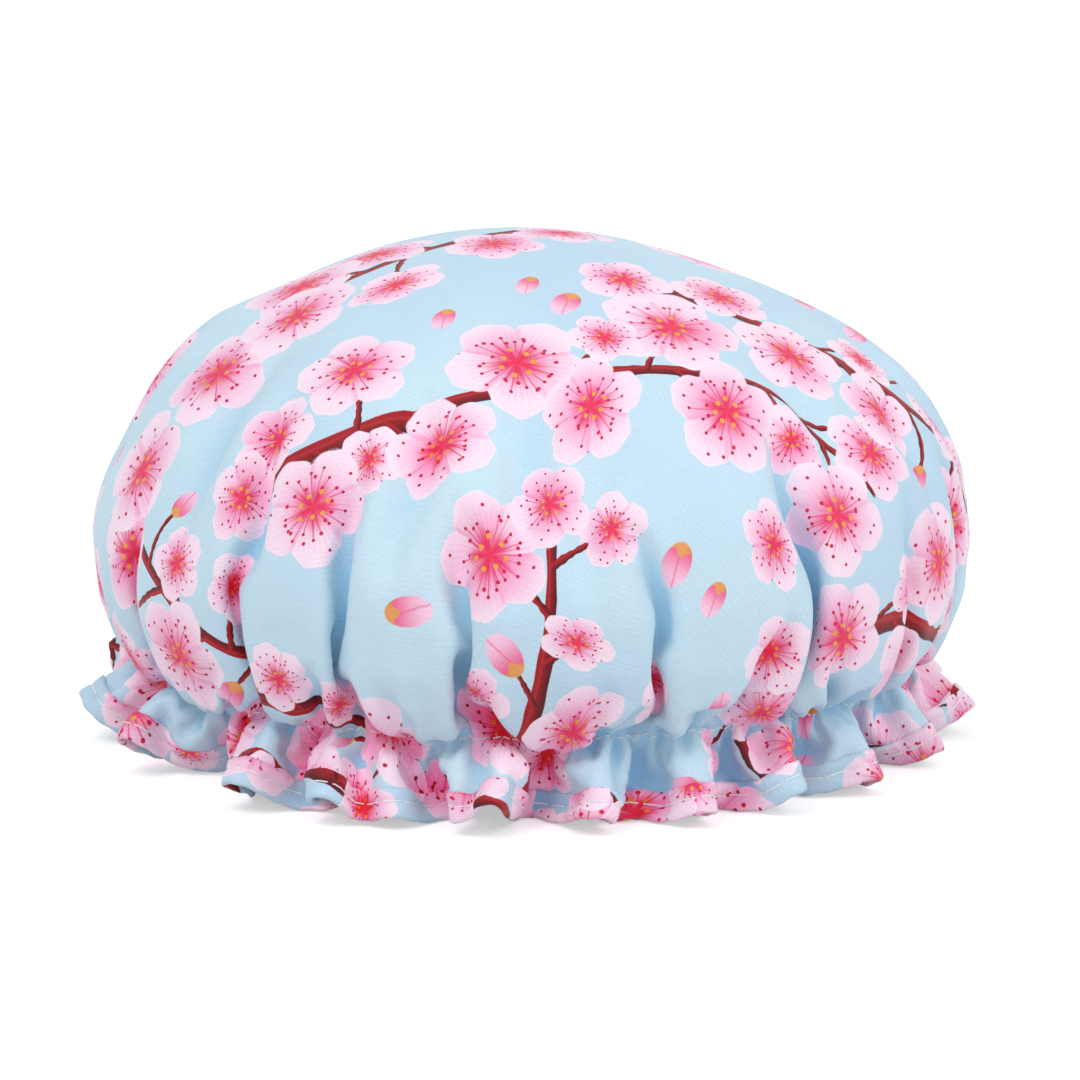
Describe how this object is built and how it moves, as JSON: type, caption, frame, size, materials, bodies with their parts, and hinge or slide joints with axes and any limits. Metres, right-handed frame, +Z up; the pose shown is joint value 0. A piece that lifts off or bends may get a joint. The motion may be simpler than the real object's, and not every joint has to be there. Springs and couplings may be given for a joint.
{
  "type": "ruffled shower cap",
  "caption": "Puffed, lined shower cap gathered by a sewn-in elastic ring above a wavy bound ruffle, in a pale blue blossom print.",
  "frame": {"origin": "on the floor under the middle of the cap's outline, at the level of the lowest folds of the bound edge", "axes": "+Z up through the crown, -Y toward the pictured front, +X to the viewer's right"},
  "size_m": [0.288, 0.2896, 0.1695],
  "materials": {
    "printed_cloth": "satin",
    "binding_cloth": "satin",
    "lining_film": "satin",
    "elastic": "matte",
    "thread": "matte"
  },
  "bodies": {
    "root": {"outer_fabric": "printed_cloth", "waterproof_lining": "lining_film", "hem_binding": "binding_cloth", "elastic_band": "elastic", "hem_needle_thread": "thread", "hem_bobbin_thread": "thread", "band_needle_thread": "thread", "band_bobbin_thread": "thread", "elastic_join_thread": "thread"}
  },
  "joints": []
}
